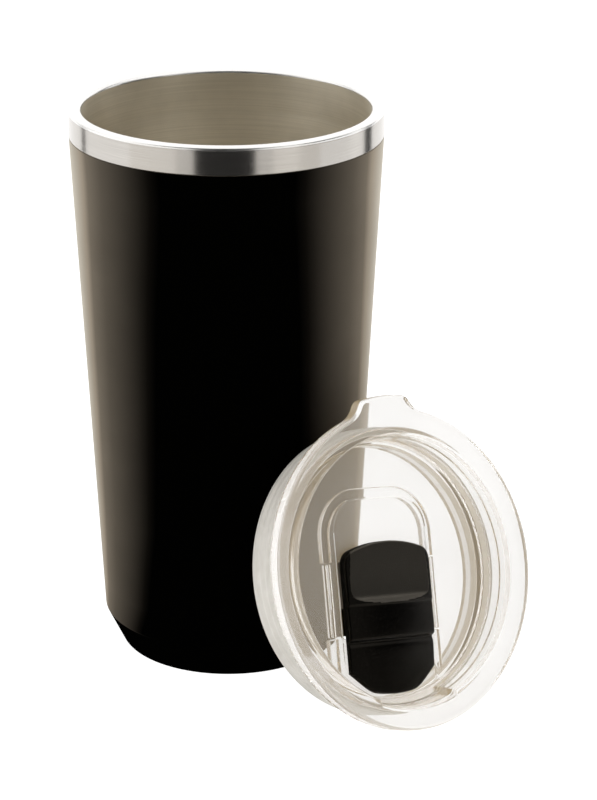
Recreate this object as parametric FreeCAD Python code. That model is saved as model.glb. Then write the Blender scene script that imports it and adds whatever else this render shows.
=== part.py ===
import FreeCAD, Part
import math
import os

os.makedirs("parts", exist_ok=True)

# Insulated tumbler with its lid taken off and leaned against the side.
# Millimetres, +Z up. The cup's axis is the Z axis and its foot stands on z = 0.
# The lid leans on the -Y side, standing on its plug, with the tab uppermost.

# ---- cup: outer skin of steel -------------------------------------------------
BAND_R = 45.0            # bare steel band below the lip
BAND_LOW_Z = 156.0       # where the black coat stops
TAPER_TOP_Z = 155.8
TAPER_LOW_Z = 10.5
TAPER_LOW_R = 37.45      # over the coat
FOOT_CONE_Z = 1.6        # the foot narrows as a cone below the taper
FOOT_CONE_R = 33.2       # over the coat
FOOT_ROUND = 1.0
JOINT_Z = 8.0            # where the shell is welded to the base pan
COAT = 0.25
SHELL_WALL = 0.7

# ---- cup: liner and rolled lip ------------------------------------------------
MOUTH_R = 41.3
LIP_TOP_Z = 163.65
LIP_LOW_Z = 162.8
LIP_ROUND_IN = 1.0
LIP_ROUND_OUT = 0.7
COLLAR_LOW_Z = 151.4     # the straight collar the lid plugs into
LINER_FOOT_R = 34.2
LINER_FLOOR_Z = 9.0
LINER_CORNER = 7.0
LINER_WALL = 0.6

# ---- cup: underside -----------------------------------------------------------
BASE_WALL = 0.8
FOOT_INNER_R = 28.6
RECESS_Z = 1.6
DIMPLE_R = 6.6
DIMPLE_Z = 2.6
SEAL_HOLE_R = 1.2
GETTER_R = 5.0
GETTER_H = 2.0
GETTER_OFFSET = 14.0

# ---- lid, in its own frame: +Z out of the dish, +Y towards the tab -------------
FLANGE_R = 45.3
FLANGE_TOP = 1.2
FLANGE_LOW = -2.8
FLANGE_ROUND = 1.3
TAB_R = 49.2
TAB_HALF = 9.6
TAB_CORNER = 3.2
TAB_ROOT = 8.0           # round where the tab leaves the rim
TAB_TURN = 4.0           # the tab sits this far round from the slider's line
DISH_MOUTH_R = 38.0
DISH_STEP_Z = -3.4
DISH_FLOOR_R = 37.0
DISH_FLOOR_Z = -10.2
FLOOR_LOW_Z = -12.8
PLUG_R = 39.7
GROOVE_R = 38.3
GROOVE_TOP_Z = -8.4
GROOVE_LOW_Z = -17.4
SKIRT_LOW_Z = -19.3
SKIRT_IN_R = 35.75
CHUTE_R = 39.7
CHUTE_HALF_ANGLE = 20.5
CHANNEL_HALF = 16.2
CHANNEL_TOP_Y = 20.7
CHANNEL_Z = -10.8
CHANNEL_CORNER = 9.0
RIB_HALF = 19.8
RIB_WIDTH = 2.9
RIB_TOP_Y = 23.8
RIB_CORNER = 13.5
RIB_LOW_Z = -14.8
SLOT_IN = 13.0
SLOT_OUT = 15.7
SLOT_LOW_Y = -18.2
SLOT_TOP_Y = 3.4
SIP_HALF = 9.0
SIP_TOP_Y = -24.6
SIP_R = 33.6

# ---- gasket -------------------------------------------------------------------
GASKET_BODY_R = 40.6
GASKET_BEAD_R = 40.85    # over the shallow beads
GASKET_BEAD_ROUND = 2.0
GASKET_BEAD_ZS = (-10.6, -13.2, -15.8)

# ---- slider -------------------------------------------------------------------
SLIDER_HALF = 15.4
SLIDER_TOP_Y = 8.4
SLIDER_BOW_R = 38.0      # the upper edge is a shallow bow
SLIDER_TOP_CORNER = 4.5
SLIDER_END_R = 34.9      # the lower end follows the dish wall
SLIDER_END_CORNER = 2.5
SLIDER_LOW_Z = -10.55
LEG_IN = 13.4
LEG_OUT = 14.7
HOOK_OUT = 16.9
HOOK_TOP_Z = -13.1
HOOK_LOW_Z = -14.6
LEG_LOW_Y = -17.5
LEG_TOP_Y = -9.8

# ---- how the lid leans --------------------------------------------------------
LID_TILT = 22.5          # lean of the lid's face back from the vertical
LID_ROLL = 11.5          # slider's line turned this far towards +X
LID_CENTRE = (4.16, -74.38, 44.15)


def arc_point(cx, cy, r, degrees):
    a = math.radians(degrees)
    return cx + r * math.cos(a), cy + r * math.sin(a)


def edge_arc(cx, cz, r, a0, a1):
    """True arc in the XZ plane from angle a0 to a1."""
    p = [arc_point(cx, cz, r, a) for a in (a0, 0.5 * (a0 + a1), a1)]
    v = [FreeCAD.Vector(x, 0, z) for x, z in p]
    return Part.Arc(v[0], v[1], v[2]).toShape()


def plan_arc(cx, cy, r, a0, a1):
    """True arc in the XY plane from angle a0 to a1."""
    p = [arc_point(cx, cy, r, a) for a in (a0, 0.5 * (a0 + a1), a1)]
    v = [FreeCAD.Vector(x, y, 0) for x, y in p]
    return Part.Arc(v[0], v[1], v[2]).toShape()


def revolve(parts):
    """Solid of revolution about Z. parts holds (r, z) points and arc edges in order."""
    edges = []
    last = None
    first = None
    for item in parts:
        if isinstance(item, tuple):
            here = FreeCAD.Vector(item[0], 0, item[1])
            if last is not None and last.distanceToPoint(here) > 1e-7:
                edges.append(Part.makeLine(last, here))
            if first is None:
                first = here
            last = here
            continue
        start = item.valueAt(item.FirstParameter)
        end = item.valueAt(item.LastParameter)
        if last is not None and last.distanceToPoint(start) > 1e-7:
            edges.append(Part.makeLine(last, start))
        if first is None:
            first = start
        edges.append(item)
        last = end
    if last.distanceToPoint(first) > 1e-7:
        edges.append(Part.makeLine(last, first))
    face = Part.Face(Part.Wire(edges))
    axis = FreeCAD.Vector(0, 0, 1)
    solid = face.revolve(FreeCAD.Vector(0, 0, 0), axis, 360)
    return solid


def box(x0, x1, y0, y1, z0, z1):
    return Part.makeBox(x1 - x0, y1 - y0, z1 - z0, FreeCAD.Vector(x0, y0, z0))


def upright_edges(shape, low_y, high_y):
    """Edges along Z whose y lies between low_y and high_y."""
    found = []
    for e in shape.Edges:
        b = e.BoundBox
        if b.XLength < 1e-6 and b.YLength < 1e-6 and low_y < b.YMax < high_y:
            found.append(e)
    return found


def rounded_u(half, top_y, low_y, corner, z0, z1):
    """Prism with a straight lower end and two rounded corners at the +Y end."""
    body = box(-half, half, low_y, top_y, z0, z1)
    return body.makeFillet(corner, upright_edges(body, top_y - 1e-3, top_y + 1e-3))


def tube_prism(profile_yz, x0, x1):
    """Prism along X of a closed (y, z) outline."""
    pts = [FreeCAD.Vector(x0, y, z) for y, z in profile_yz]
    pts.append(pts[0])
    face = Part.Face(Part.makePolygon(pts))
    return face.extrude(FreeCAD.Vector(x1 - x0, 0, 0))


# ---- cup ----------------------------------------------------------------------
FOOT_SLOPE = (TAPER_LOW_R - FOOT_CONE_R) / (TAPER_LOW_Z - FOOT_CONE_Z)
FOOT_ANGLE = math.degrees(math.atan(FOOT_SLOPE))


def cone_steel_r(z):
    """Radius of the steel under the coat, on the foot's cone."""
    over_coat = FOOT_CONE_R + (z - FOOT_CONE_Z) * FOOT_SLOPE
    return over_coat - COAT / math.cos(math.radians(FOOT_ANGLE))


# centre of the round between the floor plane and the foot's cone
FOOT_ROUND_X = cone_steel_r(0) - FOOT_ROUND / math.tan(math.radians(45 + FOOT_ANGLE / 2))


def make_inner_liner():
    low_z = LINER_FLOOR_Z + LINER_CORNER
    inner_centre_r = LINER_FOOT_R - LINER_CORNER
    wall = LINER_WALL
    return revolve([
        (0, LINER_FLOOR_Z),
        edge_arc(inner_centre_r, low_z, LINER_CORNER, -90, 0),
        (MOUTH_R, COLLAR_LOW_Z),
        edge_arc(MOUTH_R + LIP_ROUND_IN, LIP_TOP_Z - LIP_ROUND_IN, LIP_ROUND_IN, 180, 90),
        edge_arc(BAND_R - LIP_ROUND_OUT, LIP_TOP_Z - LIP_ROUND_OUT, LIP_ROUND_OUT, 90, 0),
        (BAND_R, LIP_LOW_Z),
        (MOUTH_R + wall, LIP_LOW_Z),
        (MOUTH_R + wall, COLLAR_LOW_Z),
        edge_arc(inner_centre_r, low_z, LINER_CORNER + wall, 0, -90),
        (0, LINER_FLOOR_Z - wall),
    ])


def make_outer_shell():
    w = SHELL_WALL
    low_r = TAPER_LOW_R - COAT
    top_r = BAND_R - COAT
    return revolve([
        (cone_steel_r(JOINT_Z) - BASE_WALL, JOINT_Z),
        (cone_steel_r(JOINT_Z), JOINT_Z),
        (low_r, TAPER_LOW_Z),
        (top_r, TAPER_TOP_Z),
        (BAND_R, BAND_LOW_Z),
        (BAND_R, LIP_LOW_Z),
        (BAND_R - w, LIP_LOW_Z),
        (BAND_R - w, BAND_LOW_Z + 0.5),
        (low_r - w, TAPER_LOW_Z + 0.3),
    ])


def make_powder_coat():
    stop = -45
    return revolve([
        (TAPER_LOW_R, TAPER_LOW_Z),
        (BAND_R, TAPER_TOP_Z),
        (BAND_R - COAT, TAPER_TOP_Z),
        (TAPER_LOW_R - COAT, TAPER_LOW_Z),
        (cone_steel_r(JOINT_Z), JOINT_Z),
        edge_arc(FOOT_ROUND_X, FOOT_ROUND, FOOT_ROUND, -FOOT_ANGLE, stop),
        edge_arc(FOOT_ROUND_X, FOOT_ROUND, FOOT_ROUND + COAT, stop, -FOOT_ANGLE),
    ])


def make_base_cap():
    w = BASE_WALL
    cap = revolve([
        (0, DIMPLE_Z),
        (DIMPLE_R, DIMPLE_Z),
        (DIMPLE_R + 1.0, RECESS_Z),
        (FOOT_INNER_R - 1.2, RECESS_Z),
        (FOOT_INNER_R, 0),
        edge_arc(FOOT_ROUND_X, FOOT_ROUND, FOOT_ROUND, -90, -FOOT_ANGLE),
        (cone_steel_r(JOINT_Z), JOINT_Z),
        (cone_steel_r(JOINT_Z) - w, JOINT_Z),
        (cone_steel_r(1.3) - w, 1.3),
        (cone_steel_r(1.3) - w - 0.5, w),
        (FOOT_INNER_R + 0.5, w),
        (FOOT_INNER_R - 0.7, RECESS_Z + w),
        (DIMPLE_R + 1.5, RECESS_Z + w),
        (DIMPLE_R + 0.5, DIMPLE_Z + w),
        (0, DIMPLE_Z + w),
    ])
    hole = Part.makeCylinder(SEAL_HOLE_R, 10, FreeCAD.Vector(0, 0, 0))
    return cap.cut(hole)


def make_vacuum_seal():
    drop = 0.85
    r = 4.6
    ball_r = (r * r + drop * drop) / (2 * drop)
    centre_z = DIMPLE_Z - drop + ball_r
    half = math.degrees(math.asin(r / ball_r))
    return revolve([
        edge_arc(0, centre_z, ball_r, -90, -90 + half),
        (SEAL_HOLE_R, DIMPLE_Z),
        (SEAL_HOLE_R, DIMPLE_Z + BASE_WALL + 0.4),
        (0, DIMPLE_Z + BASE_WALL + 0.4),
    ])


def make_getter():
    top = LINER_FLOOR_Z - LINER_WALL
    pill = Part.makeCylinder(GETTER_R, GETTER_H, FreeCAD.Vector(GETTER_OFFSET, 0, top - GETTER_H))
    low = [e for e in pill.Edges if e.BoundBox.ZMax < top - GETTER_H + 1e-6 and e.Length > GETTER_R]
    return pill.makeFillet(0.5, low)


# ---- lid ----------------------------------------------------------------------
def flange_plate():
    """Round flange with the thumb tab, whose sides sweep into the rim."""
    corner_x = TAB_HALF - TAB_CORNER
    corner_r = TAB_R - TAB_CORNER
    root_r = FLANGE_R + TAB_ROOT
    tip = math.asin(corner_x / corner_r)
    reach = TAB_CORNER + TAB_ROOT
    cos_spread = (corner_r ** 2 + root_r ** 2 - reach ** 2) / (2 * corner_r * root_r)
    root = tip + math.acos(cos_spread)
    cx, cy = corner_r * math.sin(tip), corner_r * math.cos(tip)
    rx, ry = root_r * math.sin(root), root_r * math.cos(root)
    tip = math.degrees(tip)
    root = math.degrees(root)
    joint = math.degrees(math.atan2(ry - cy, rx - cx))
    edges = [
        plan_arc(0, 0, TAB_R, 90 + tip, 90 - tip),
        plan_arc(cx, cy, TAB_CORNER, 90 - tip, joint),
        plan_arc(rx, ry, TAB_ROOT, joint + 180, 270 - root),
        plan_arc(0, 0, FLANGE_R, 90 - root, -90),
        plan_arc(0, 0, FLANGE_R, -90, root - 270),
        plan_arc(-rx, ry, TAB_ROOT, root - 90, -joint),
        plan_arc(-cx, cy, TAB_CORNER, 180 - joint, 90 + tip),
    ]
    face = Part.Face(Part.Wire(edges))
    plate = face.extrude(FreeCAD.Vector(0, 0, FLANGE_TOP - FLANGE_LOW))
    plate.translate(FreeCAD.Vector(0, 0, FLANGE_LOW))
    top = [e for e in plate.Edges if e.BoundBox.ZMin > FLANGE_TOP - 1e-6]
    plate = plate.makeFillet(FLANGE_ROUND, top)
    low = [e for e in plate.Edges if e.BoundBox.ZMax < FLANGE_LOW + 1e-6]
    plate = plate.makeFillet(0.5, low)
    plate.rotate(FreeCAD.Vector(0, 0, 0), FreeCAD.Vector(0, 0, 1), TAB_TURN)
    return plate


def make_lid_body():
    plate = flange_plate()
    plate = plate.cut(Part.makeCylinder(DISH_MOUTH_R + 1.2, 20, FreeCAD.Vector(0, 0, -10)))
    core = revolve([
        (0, DISH_FLOOR_Z),
        edge_arc(DISH_FLOOR_R - 0.8, DISH_FLOOR_Z + 0.8, 0.8, -90, 0),
        (DISH_FLOOR_R + 0.3, DISH_STEP_Z),
        (DISH_FLOOR_R + 0.65, DISH_STEP_Z + 0.2),
        (DISH_MOUTH_R, FLANGE_TOP - 0.4),
        (DISH_MOUTH_R + 0.4, FLANGE_TOP),
        (DISH_MOUTH_R + 1.2, FLANGE_TOP),
        (DISH_MOUTH_R + 1.2, FLANGE_LOW),
        (PLUG_R + 0.2, FLANGE_LOW),
        (PLUG_R, GROOVE_TOP_Z),
        (GROOVE_R, GROOVE_TOP_Z),
        (GROOVE_R, GROOVE_LOW_Z),
        (PLUG_R - 0.1, GROOVE_LOW_Z),
        (PLUG_R - 0.3, GROOVE_LOW_Z - 0.5),
        (GROOVE_R, SKIRT_LOW_Z),
        (SKIRT_IN_R, SKIRT_LOW_Z),
        (SKIRT_IN_R + 0.55, FLOOR_LOW_Z),
        (0, FLOOR_LOW_Z),
    ])
    body = plate.fuse(core).removeSplitter()

    # pouring chute: the dish wall leans back over the sip opening
    rise = FLANGE_TOP + 1.0 - DISH_FLOOR_Z
    slope = (CHUTE_R - DISH_FLOOR_R) / (FLANGE_TOP - DISH_FLOOR_Z)
    chute = [
        FreeCAD.Vector(30, 0, DISH_FLOOR_Z),
        FreeCAD.Vector(DISH_FLOOR_R, 0, DISH_FLOOR_Z),
        FreeCAD.Vector(DISH_FLOOR_R + slope * rise, 0, DISH_FLOOR_Z + rise),
        FreeCAD.Vector(30, 0, DISH_FLOOR_Z + rise),
    ]
    chute = Part.Face(Part.makePolygon(chute + [chute[0]]))
    chute = chute.revolve(FreeCAD.Vector(0, 0, 0), FreeCAD.Vector(0, 0, 1), 2 * CHUTE_HALF_ANGLE)
    chute.rotate(FreeCAD.Vector(0, 0, 0), FreeCAD.Vector(0, 0, 1), -90 - CHUTE_HALF_ANGLE)
    body = body.cut(chute)

    # shallow channel the slider runs in
    channel = rounded_u(CHANNEL_HALF, CHANNEL_TOP_Y, -45, CHANNEL_CORNER, CHANNEL_Z, -5)
    channel = channel.common(Part.makeCylinder(DISH_FLOOR_R - 0.8, 30, FreeCAD.Vector(0, 0, -20)))
    body = body.cut(channel)

    # rib under the floor round the channel, open where the slider's hooks run
    rib = rounded_u(RIB_HALF, RIB_TOP_Y, -40, RIB_CORNER, RIB_LOW_Z, FLOOR_LOW_Z)
    in_corner = RIB_CORNER - RIB_WIDTH
    hollow = rounded_u(
        RIB_HALF - RIB_WIDTH, RIB_TOP_Y - RIB_WIDTH, -41, in_corner, RIB_LOW_Z - 1, FLOOR_LOW_Z + 1
    )
    rib = rib.cut(hollow)
    rib = rib.cut(box(-30, 30, SLOT_LOW_Y, SLOT_TOP_Y, RIB_LOW_Z - 1, FLOOR_LOW_Z + 1))
    rib = rib.common(Part.makeCylinder(SKIRT_IN_R + 0.5, 30, FreeCAD.Vector(0, 0, -30)))
    body = body.fuse(rib).removeSplitter()

    # two slots for the slider's hooks
    for side in (-1, 1):
        xs = sorted((side * SLOT_IN, side * SLOT_OUT))
        slot = box(xs[0], xs[1], SLOT_LOW_Y, SLOT_TOP_Y, FLOOR_LOW_Z - 1, CHANNEL_Z + 1)
        body = body.cut(slot)

    # sip opening through the floor, its outer edge following the dish wall
    sip = box(-SIP_HALF, SIP_HALF, -40, SIP_TOP_Y, FLOOR_LOW_Z - 3, CHANNEL_Z + 3)
    sip = sip.common(Part.makeCylinder(SIP_R, 20, FreeCAD.Vector(0, 0, -20)))
    sip = sip.makeFillet(2.0, upright_edges(sip, -40, -20))
    return body.cut(sip)


def make_lid_gasket():
    low = GROOVE_LOW_Z + 0.1
    top = GROOVE_TOP_Z - 0.1
    band = revolve([
        (GROOVE_R, low),
        (GASKET_BODY_R, low),
        (GASKET_BODY_R, top - 0.5),
        (GASKET_BODY_R - 0.5, top),
        (GROOVE_R, top),
    ])
    foot = FreeCAD.Vector(0, 0, low)
    groove = Part.makeCylinder(FLANGE_R, top - low, foot).cut(Part.makeCylinder(GROOVE_R, top - low, foot))
    for z in GASKET_BEAD_ZS:
        centre = FreeCAD.Vector(0, 0, z)
        bead = Part.makeTorus(GASKET_BEAD_R - GASKET_BEAD_ROUND, GASKET_BEAD_ROUND, centre)
        band = band.fuse(bead.common(groove))
    return band.removeSplitter()


def slider_profile():
    """Outline of the slider's long section: thumb dish, crest, block, sloping end."""
    pts = [(SLIDER_TOP_Y + 1, SLIDER_LOW_Z), (SLIDER_TOP_Y + 1, -7.15)]
    pts += [(6.0, -7.1), (3.0, -7.25), (0.0, -7.45), (-3.0, -7.55), (-5.4, -7.45)]
    pts += [(-6.6, -7.2), (-7.6, -6.75), (-8.4, -6.3), (-9.2, -6.05), (-10.2, -6.0)]
    pts += [(-18.8, -6.1), (-19.6, -6.35), (-20.0, -7.2), (-20.5, -7.8), (-21.6, -8.1)]
    pts += [(-30.0, -8.55), (-36.0, -9.0), (-36.0, SLIDER_LOW_Z)]
    return pts


def make_slider():
    foot = box(-SLIDER_HALF, SLIDER_HALF, -40, SLIDER_TOP_Y, SLIDER_LOW_Z, -4)
    bow = Part.makeCylinder(SLIDER_BOW_R, 20, FreeCAD.Vector(0, SLIDER_TOP_Y - SLIDER_BOW_R, -20))
    foot = foot.common(bow)
    foot = foot.common(Part.makeCylinder(SLIDER_END_R, 20, FreeCAD.Vector(0, 0, -20)))
    foot = foot.makeFillet(SLIDER_TOP_CORNER, upright_edges(foot, 0, SLIDER_TOP_Y))
    foot = foot.makeFillet(SLIDER_END_CORNER, upright_edges(foot, -36, -30))
    cap = foot.common(tube_prism(slider_profile(), -20, 20))
    for side in (-1, 1):
        xs = sorted((side * LEG_IN, side * LEG_OUT))
        leg = box(xs[0], xs[1], LEG_LOW_Y, LEG_TOP_Y, HOOK_LOW_Z, SLIDER_LOW_Z + 0.5)
        xs = sorted((side * LEG_IN, side * HOOK_OUT))
        hook = box(xs[0], xs[1], LEG_LOW_Y, LEG_TOP_Y, HOOK_LOW_Z, HOOK_TOP_Z)
        cap = cap.fuse(leg).fuse(hook)
    return cap.removeSplitter()


def lean(shape):
    """Carry a lid piece from the lid's own frame to where it leans."""
    origin = FreeCAD.Vector(0, 0, 0)
    shape.rotate(origin, FreeCAD.Vector(0, 0, 1), -LID_ROLL)
    shape.rotate(origin, FreeCAD.Vector(1, 0, 0), 90 - LID_TILT)
    shape.translate(FreeCAD.Vector(*LID_CENTRE))
    return shape


pieces = {
    "inner_liner": make_inner_liner(),
    "outer_shell": make_outer_shell(),
    "powder_coat": make_powder_coat(),
    "base_cap": make_base_cap(),
    "vacuum_seal": make_vacuum_seal(),
    "getter": make_getter(),
    "lid_body": lean(make_lid_body()),
    "lid_gasket": lean(make_lid_gasket()),
    "slider": lean(make_slider()),
}

for name, shape in pieces.items():
    solid = shape.Solids[0] if len(shape.Solids) == 1 else shape
    solid.exportStep("parts/" + name + ".step")
    box_ = shape.BoundBox
    print(name, len(shape.Solids), shape.isValid(), round(shape.Volume, 1), round(box_.ZMin, 3))
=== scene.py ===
import math

import bmesh
import bpy
from mathutils import Matrix, Vector


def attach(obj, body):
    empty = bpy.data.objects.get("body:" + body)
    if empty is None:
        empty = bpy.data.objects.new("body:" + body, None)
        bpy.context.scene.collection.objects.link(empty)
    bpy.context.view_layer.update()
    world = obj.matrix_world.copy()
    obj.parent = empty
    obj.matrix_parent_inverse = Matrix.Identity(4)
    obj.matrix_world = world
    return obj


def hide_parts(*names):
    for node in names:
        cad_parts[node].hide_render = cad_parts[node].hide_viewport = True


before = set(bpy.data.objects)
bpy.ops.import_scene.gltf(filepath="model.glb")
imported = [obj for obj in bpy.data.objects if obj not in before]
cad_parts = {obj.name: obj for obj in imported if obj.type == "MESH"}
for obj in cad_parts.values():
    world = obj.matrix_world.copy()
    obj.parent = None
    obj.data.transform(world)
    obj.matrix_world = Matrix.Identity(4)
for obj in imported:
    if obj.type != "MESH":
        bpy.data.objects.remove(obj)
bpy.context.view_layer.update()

MM = 0.001

# ---- the same dimensions as the CAD part, in millimetres ----------------------
BAND_R = 45.0
BAND_LOW_Z = 156.0
TAPER_TOP_Z = 155.8
TAPER_LOW_Z = 10.5
TAPER_LOW_R = 37.45
FOOT_CONE_Z = 1.6
FOOT_CONE_R = 33.2
FOOT_ROUND = 1.0
JOINT_Z = 8.0
COAT = 0.25
SHELL_WALL = 0.7
MOUTH_R = 41.3
LIP_TOP_Z = 163.65
LIP_LOW_Z = 162.8
LIP_ROUND_IN = 1.0
LIP_ROUND_OUT = 0.7
COLLAR_LOW_Z = 151.4
LINER_FOOT_R = 34.2
LINER_FLOOR_Z = 9.0
LINER_CORNER = 7.0
LINER_WALL = 0.6
BASE_WALL = 0.8
FOOT_INNER_R = 28.6
RECESS_Z = 1.6
DIMPLE_R = 6.6
DIMPLE_Z = 2.6
SEAL_HOLE_R = 1.2

FLANGE_R = 45.3
FLANGE_TOP = 1.2
FLANGE_LOW = -2.8
FLANGE_ROUND = 1.3
TAB_R = 49.2
TAB_HALF = 9.6
TAB_CORNER = 3.2
TAB_ROOT = 8.0
TAB_TURN = 4.0
DISH_MOUTH_R = 38.0
DISH_STEP_Z = -3.4
DISH_FLOOR_R = 37.0
DISH_FLOOR_Z = -10.2
FLOOR_LOW_Z = -12.8
PLUG_R = 39.7
GROOVE_R = 38.3
GROOVE_TOP_Z = -8.4
GROOVE_LOW_Z = -17.4
SKIRT_LOW_Z = -19.3
SKIRT_IN_R = 35.75
CHUTE_R = 39.7
CHUTE_HALF_ANGLE = 20.5
CHANNEL_HALF = 16.2
CHANNEL_TOP_Y = 20.7
CHANNEL_Z = -10.8
CHANNEL_CORNER = 9.0
RIB_HALF = 19.8
RIB_WIDTH = 2.9
RIB_TOP_Y = 23.8
RIB_CORNER = 13.5
RIB_LOW_Z = -14.8
RAIL_LOW_Z = -14.0
RAIL_SPANS = ((17.5, 18.2), (18.9, RIB_HALF))
RAIL_GAP = 0.6
SLOT_IN = 13.0
SLOT_OUT = 15.7
SLOT_LOW_Y = -18.2
SLOT_TOP_Y = 3.4
SIP_HALF = 9.0
SIP_TOP_Y = -24.6
SIP_R = 33.6
GASKET_BODY_R = 40.6
GASKET_BEAD_R = 40.85
GASKET_BEAD_ROUND = 2.0
GASKET_BEAD_ZS = (-10.6, -13.2, -15.8)
GASKET_GAP = 0.06        # keeps the ring's back clear of the plastic's facets
SLIDER_HALF = 15.4
SLIDER_TOP_Y = 8.4
SLIDER_BOW_R = 38.0
SLIDER_TOP_CORNER = 4.5
SLIDER_END_R = 34.9
SLIDER_END_CORNER = 2.5
SLIDER_LOW_Z = -10.55
LEG_IN = 13.4
LEG_OUT = 14.7
HOOK_OUT = 16.9
HOOK_TOP_Z = -13.1
HOOK_LOW_Z = -14.6
LEG_LOW_Y = -17.5
LEG_TOP_Y = -9.8
LID_TILT = 22.5
LID_ROLL = 11.5
LID_CENTRE = (4.16, -74.38, 44.15)

LID_PLACE = (
    Matrix.Translation(Vector(LID_CENTRE) * MM)
    @ Matrix.Rotation(math.radians(90 - LID_TILT), 4, "X")
    @ Matrix.Rotation(math.radians(-LID_ROLL), 4, "Z")
)


# ---- mesh helpers --------------------------------------------------------------
def polar(r, degrees):
    """Point on a circle, the angle counted from +X towards +Y."""
    a = math.radians(degrees)
    return r * math.cos(a), r * math.sin(a)


def arc(cx, cy, r, a0, a1, n):
    """n + 1 points on a circle, angles in degrees."""
    pts = []
    for i in range(n + 1):
        x, y = polar(r, a0 + (a1 - a0) * i / n)
        pts.append((cx + x, cy + y))
    return pts


def rounded(points, closed=True, step=12.0):
    """Outline with corners rounded. A point is (x, y) or (x, y, radius)."""
    out = []
    n = len(points)
    for i, p in enumerate(points):
        here = Vector(p[:2])
        radius = p[2] if len(p) > 2 else 0.0
        if radius <= 0 or (not closed and i in (0, n - 1)):
            out.append(tuple(here))
            continue
        a = Vector(points[i - 1][:2]) - here
        b = Vector(points[(i + 1) % n][:2]) - here
        la, lb = a.length, b.length
        a.normalize()
        b.normalize()
        inner = a.angle(b)
        reach = min(radius / math.tan(inner / 2), 0.48 * la, 0.48 * lb)
        radius = reach * math.tan(inner / 2)
        centre = here + (a + b).normalized() * (radius / math.sin(inner / 2))
        start = here + a * reach - centre
        turn = math.pi - inner
        side = 1 if a.x * b.y - a.y * b.x < 0 else -1
        steps = max(2, round(math.degrees(turn) / step))
        for k in range(steps + 1):
            t = side * turn * k / steps
            c, s = math.cos(t), math.sin(t)
            out.append((centre.x + start.x * c - start.y * s, centre.y + start.x * s + start.y * c))
    return out


def supported(points, closed=True, gap=0.1, least=0.5):
    """The same outline with extra points near the ends of its long runs, so that they shade flat."""
    out = []
    n = len(points)
    for i, p in enumerate(points):
        out.append(p)
        if not closed and i == n - 1:
            break
        q = points[(i + 1) % n]
        d = math.dist(p, q)
        if d < least:
            continue
        for t in (gap / d, 1 - gap / d):
            out.append((p[0] + (q[0] - p[0]) * t, p[1] + (q[1] - p[1]) * t))
    return out


def new_piece(name, bm, body, material, nodes=(), place=None, sharp=38):
    """Finish a mesh as a piece: outward normals, smooth shading, body, material."""
    bmesh.ops.recalc_face_normals(bm, faces=bm.faces)
    if place is not None:
        bm.transform(place)
    mesh = bpy.data.meshes.new(name)
    bm.to_mesh(mesh)
    bm.free()
    for p in mesh.polygons:
        p.use_smooth = True
    mesh.set_sharp_from_angle(angle=math.radians(sharp))
    piece = bpy.data.objects.new(name, mesh)
    bpy.context.scene.collection.objects.link(piece)
    mesh.materials.append(material)
    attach(piece, body)
    if nodes:
        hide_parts(*nodes)
    return piece


def lathe(profile, segments=256, closed=False):
    """Mesh of revolution about Z from (r, z) points; r = 0 points become single vertices."""
    bm = bmesh.new()
    rings = []
    for r, z in profile:
        if r < 1e-6:
            rings.append([bm.verts.new((0, 0, z * MM))])
            continue
        ring = []
        for k in range(segments):
            x, y = polar(r, 360 * k / segments)
            ring.append(bm.verts.new((x * MM, y * MM, z * MM)))
        rings.append(ring)
    pairs = list(zip(rings, rings[1:]))
    if closed:
        pairs.append((rings[-1], rings[0]))
    for a, b in pairs:
        bridge(bm, a, b)
    return bm


def bridge(bm, a, b):
    """Faces between two closed rings, or a ring and a point."""
    n = max(len(a), len(b))
    for k in range(n):
        m = (k + 1) % n
        if len(a) == 1:
            bm.faces.new((a[0], b[k], b[m]))
        elif len(b) == 1:
            bm.faces.new((a[k], a[m], b[0]))
        else:
            bm.faces.new((a[k], a[m], b[m], b[k]))


def loop_at(bm, outline, z):
    """Loop of new vertices on an outline."""
    return [bm.verts.new((x * MM, y * MM, z * MM)) for x, y in outline]


def fill(bm, loops):
    """Flat face between an outer loop and the holes in it."""
    edges = []
    for loop in loops:
        for k, v in enumerate(loop):
            w = loop[(k + 1) % len(loop)]
            edges.append(bm.edges.get((v, w)) or bm.edges.new((v, w)))
    bmesh.ops.triangle_fill(bm, use_beauty=True, edges=edges)


def offset(outline, d):
    """Outline moved outwards by d (counter-clockwise outlines)."""
    n = len(outline)
    out = []
    for i, p in enumerate(outline):
        a = Vector(outline[i - 1])
        b = Vector(outline[(i + 1) % n])
        here = Vector(p)
        e0 = (here - a).normalized()
        e1 = (b - here).normalized()
        n0 = Vector((e0.y, -e0.x))
        n1 = Vector((e1.y, -e1.x))
        m = n0 + n1
        m = m / max(m.length_squared / 2, 0.3)
        out.append((p[0] + m.x * d, p[1] + m.y * d))
    return out


# ---- materials -----------------------------------------------------------------
ACROSS_BRUSHING = 0.25      # a quarter turn: highlights spread across the rings


class Tree:
    """Small helper for building a node tree."""

    def __init__(self, tree):
        self.tree = tree
        self.tree.nodes.clear()
        self.shader = None

    def add(self, kind, **values):
        node = self.tree.nodes.new(kind)
        for key, value in values.items():
            setattr(node, key, value)
        return node

    def link(self, a, a_socket, b, b_socket):
        self.tree.links.new(a.outputs[a_socket], b.inputs[b_socket])

    def set(self, node=None, **values):
        """Constants on the node's inputs, or else on the main shader's."""
        node = node or self.shader
        for key, value in values.items():
            node.inputs[key.replace("_", " ")].default_value = value
        return node


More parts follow.
